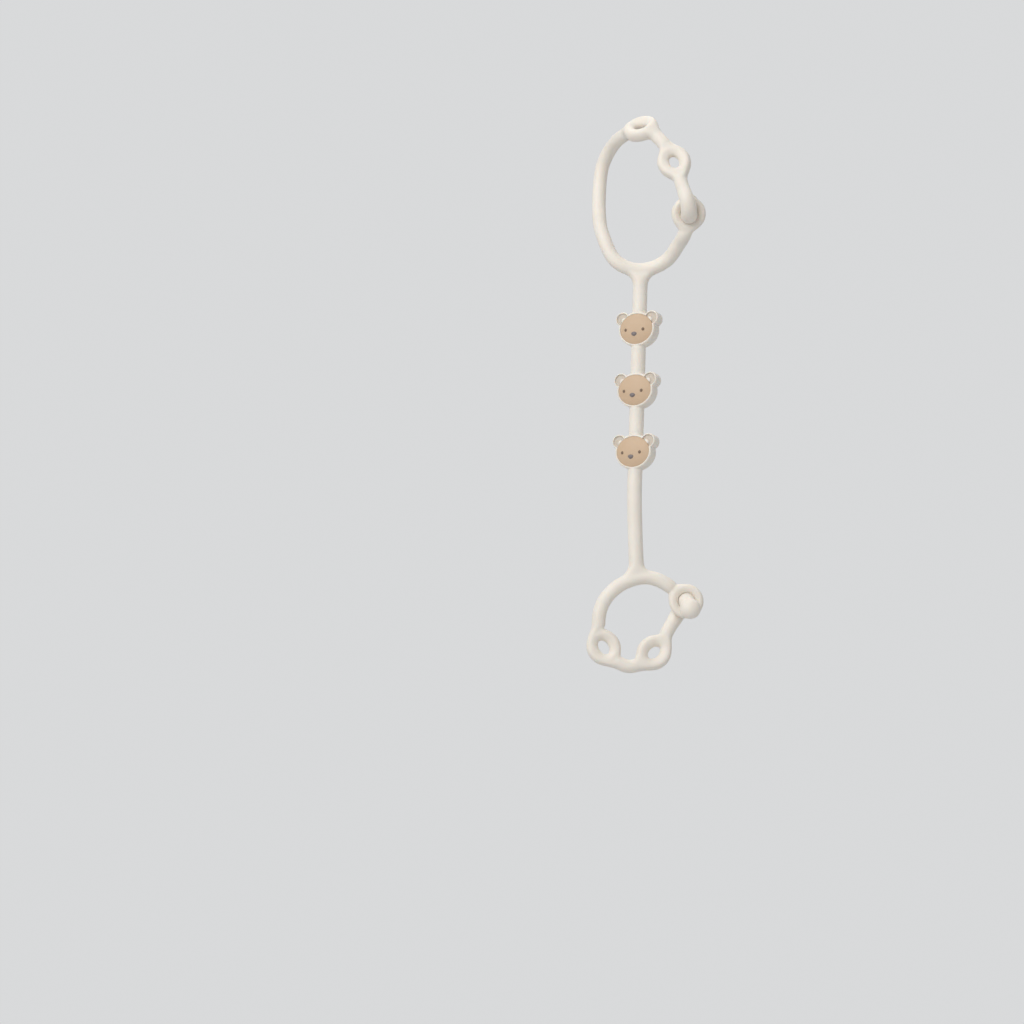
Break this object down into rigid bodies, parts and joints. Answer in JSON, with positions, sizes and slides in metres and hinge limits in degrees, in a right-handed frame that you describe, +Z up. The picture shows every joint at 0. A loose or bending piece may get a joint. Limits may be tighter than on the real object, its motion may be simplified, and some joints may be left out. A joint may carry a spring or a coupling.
{
  "type": "toy strap",
  "caption": "Soft silicone toy strap: a cord stem carrying flat bear heads, with a buttoned loop at the top for a bar and one at the bottom for a toy or cup handle.",
  "frame": {"origin": "on the axis of the bar that the upper loop hangs on, straight above the stem", "axes": "+Z up along the hanging stem, +X right along the bar, -Y the front that the bears face"},
  "size_m": [0.0727, 0.0665, 0.3374],
  "materials": {
    "cream_silicone": "matt cream silicone with a soft sheen",
    "beige_silicone": "matt beige silicone inlay",
    "nose_grey": "matt warm grey inlay",
    "eye_brown": "matt dark brown inlay"
  },
  "bodies": {
    "upper_yoke_body": {"upper_yoke": "cream_silicone", "upper_ring": "cream_silicone"},
    "upper_arm_body": {"upper_arm_flex": "cream_silicone", "upper_arm": "cream_silicone", "upper_inner_eyelet": "cream_silicone"},
    "upper_link_body": {"upper_inner_link": "cream_silicone", "upper_outer_eyelet": "cream_silicone"},
    "upper_tip_body": {"upper_outer_link": "cream_silicone", "upper_tip": "cream_silicone"},
    "stem_collar_body": {"stem_flex_1a": "cream_silicone", "stem_collar": "cream_silicone"},
    "bear_1_body": {"stem_flex_1b": "cream_silicone", "bear_1_head": "cream_silicone", "bear_1_face": "beige_silicone", "bear_1_nose": "nose_grey", "bear_1_eye_left": "eye_brown", "bear_1_eye_right": "eye_brown"},
    "bear_2_body": {"stem_flex_2": "cream_silicone", "bear_2_head": "cream_silicone", "bear_2_face": "beige_silicone", "bear_2_nose": "nose_grey", "bear_2_eye_left": "eye_brown", "bear_2_eye_right": "eye_brown"},
    "bear_3_body": {"stem_flex_3": "cream_silicone", "bear_3_head": "cream_silicone", "bear_3_face": "beige_silicone", "bear_3_nose": "nose_grey", "bear_3_eye_left": "eye_brown", "bear_3_eye_right": "eye_brown"},
    "stem_lower_body": {"stem_flex_4a": "cream_silicone", "stem_lower": "cream_silicone"},
    "lower_yoke_body": {"stem_flex_4b": "cream_silicone", "lower_yoke": "cream_silicone", "lower_ring": "cream_silicone"},
    "lower_arm_body": {"lower_arm_flex": "cream_silicone", "lower_inner_eyelet": "cream_silicone"},
    "lower_link_body": {"lower_inner_link": "cream_silicone", "lower_outer_eyelet": "cream_silicone"},
    "lower_tip_body": {"lower_outer_link": "cream_silicone", "lower_tip": "cream_silicone"}
  },
  "joints": [
    {"name": "upper_arm_bend", "type": "hinge", "parent": "upper_yoke_body", "child": "upper_arm_body", "pos_m": [-0.02483, 0.00876, -0.03329], "axis": [-1, -0.0087, 0], "range_deg": [-2, 50], "stiffness_Nm_per_rad": 0.04, "springref_deg": 3.38, "deforming": ["upper_arm_flex", "upper_ring"]},
    {"name": "upper_link_bend", "type": "hinge", "parent": "upper_arm_body", "child": "upper_link_body", "pos_m": [0.00927, -0.02237, 0.0139], "axis": [-1, -0.0087, 0], "range_deg": [-2, 50], "stiffness_Nm_per_rad": 0.045, "springref_deg": 0.23, "deforming": ["upper_inner_link"]},
    {"name": "upper_ball_pull", "type": "hinge", "parent": "upper_link_body", "child": "upper_tip_body", "pos_m": [0.022, -0.03213, -0.01551], "axis": [-1, -0.0087, 0], "range_deg": [0, 80], "stiffness_Nm_per_rad": 0.045, "springref_deg": -0.32, "deforming": ["upper_outer_link"]},
    {"name": "stem_side_bend_upper", "type": "hinge", "parent": "upper_yoke_body", "child": "stem_collar_body", "pos_m": [0, 0, -0.07407], "axis": [0.0087, 1, 0], "range_deg": [-30, 30], "stiffness_Nm_per_rad": 0.06, "springref_deg": -1.19, "deforming": ["stem_flex_1a"]},
    {"name": "bear_1_bend", "type": "hinge", "parent": "stem_collar_body", "child": "bear_1_body", "pos_m": [0, 0, -0.08322], "axis": [1, 0.0087, 0], "range_deg": [-30, 30], "stiffness_Nm_per_rad": 0.06, "springref_deg": 0.07, "deforming": ["stem_flex_1b"]},
    {"name": "bear_2_bend", "type": "hinge", "parent": "bear_1_body", "child": "bear_2_body", "pos_m": [0, 0, -0.11695], "axis": [1, 0.0087, 0], "range_deg": [-35, 35], "stiffness_Nm_per_rad": 0.04, "springref_deg": 0.11, "deforming": ["stem_flex_2"]},
    {"name": "bear_3_bend", "type": "hinge", "parent": "bear_2_body", "child": "bear_3_body", "pos_m": [0, 0, -0.15445], "axis": [1, 0.0087, 0], "range_deg": [-35, 35], "stiffness_Nm_per_rad": 0.04, "springref_deg": 0.11, "deforming": ["stem_flex_3"]},
    {"name": "stem_side_bend_lower", "type": "hinge", "parent": "bear_3_body", "child": "stem_lower_body", "pos_m": [-0.00009, 0, -0.1907], "axis": [0.0087, 1, 0], "range_deg": [-35, 35], "stiffness_Nm_per_rad": 0.05, "springref_deg": -1.46, "deforming": ["stem_flex_4a"]},
    {"name": "lower_loop_bend", "type": "hinge", "parent": "stem_lower_body", "child": "lower_yoke_body", "pos_m": [0.00162, 0, -0.23184], "axis": [1, 0.0087, 0], "range_deg": [-35, 35], "stiffness_Nm_per_rad": 0.05, "springref_deg": 0.09, "deforming": ["stem_flex_4b"]},
    {"name": "lower_arm_bend", "type": "hinge", "parent": "lower_yoke_body", "child": "lower_arm_body", "pos_m": [-0.01903, -0.00006, -0.27153], "axis": [0.0087, 1, 0], "range_deg": [-6, 50], "stiffness_Nm_per_rad": 0.045, "springref_deg": -3.1, "deforming": ["lower_arm_flex", "lower_ring"]},
    {"name": "lower_link_bend", "type": "hinge", "parent": "lower_arm_body", "child": "lower_link_body", "pos_m": [-0.0013, 0.00155, -0.30192], "axis": [0.0087, 1, 0], "range_deg": [-6, 50], "stiffness_Nm_per_rad": 0.045, "springref_deg": -1.66, "deforming": ["lower_inner_link"]},
    {"name": "lower_ball_pull", "type": "hinge", "parent": "lower_link_body", "child": "lower_tip_body", "pos_m": [0.02241, 0.005, -0.27894], "axis": [-0.829, 0, 0.5593], "range_deg": [0, 80], "stiffness_Nm_per_rad": 0.045, "springref_deg": 0.18, "deforming": ["lower_outer_link"]}
  ]
}
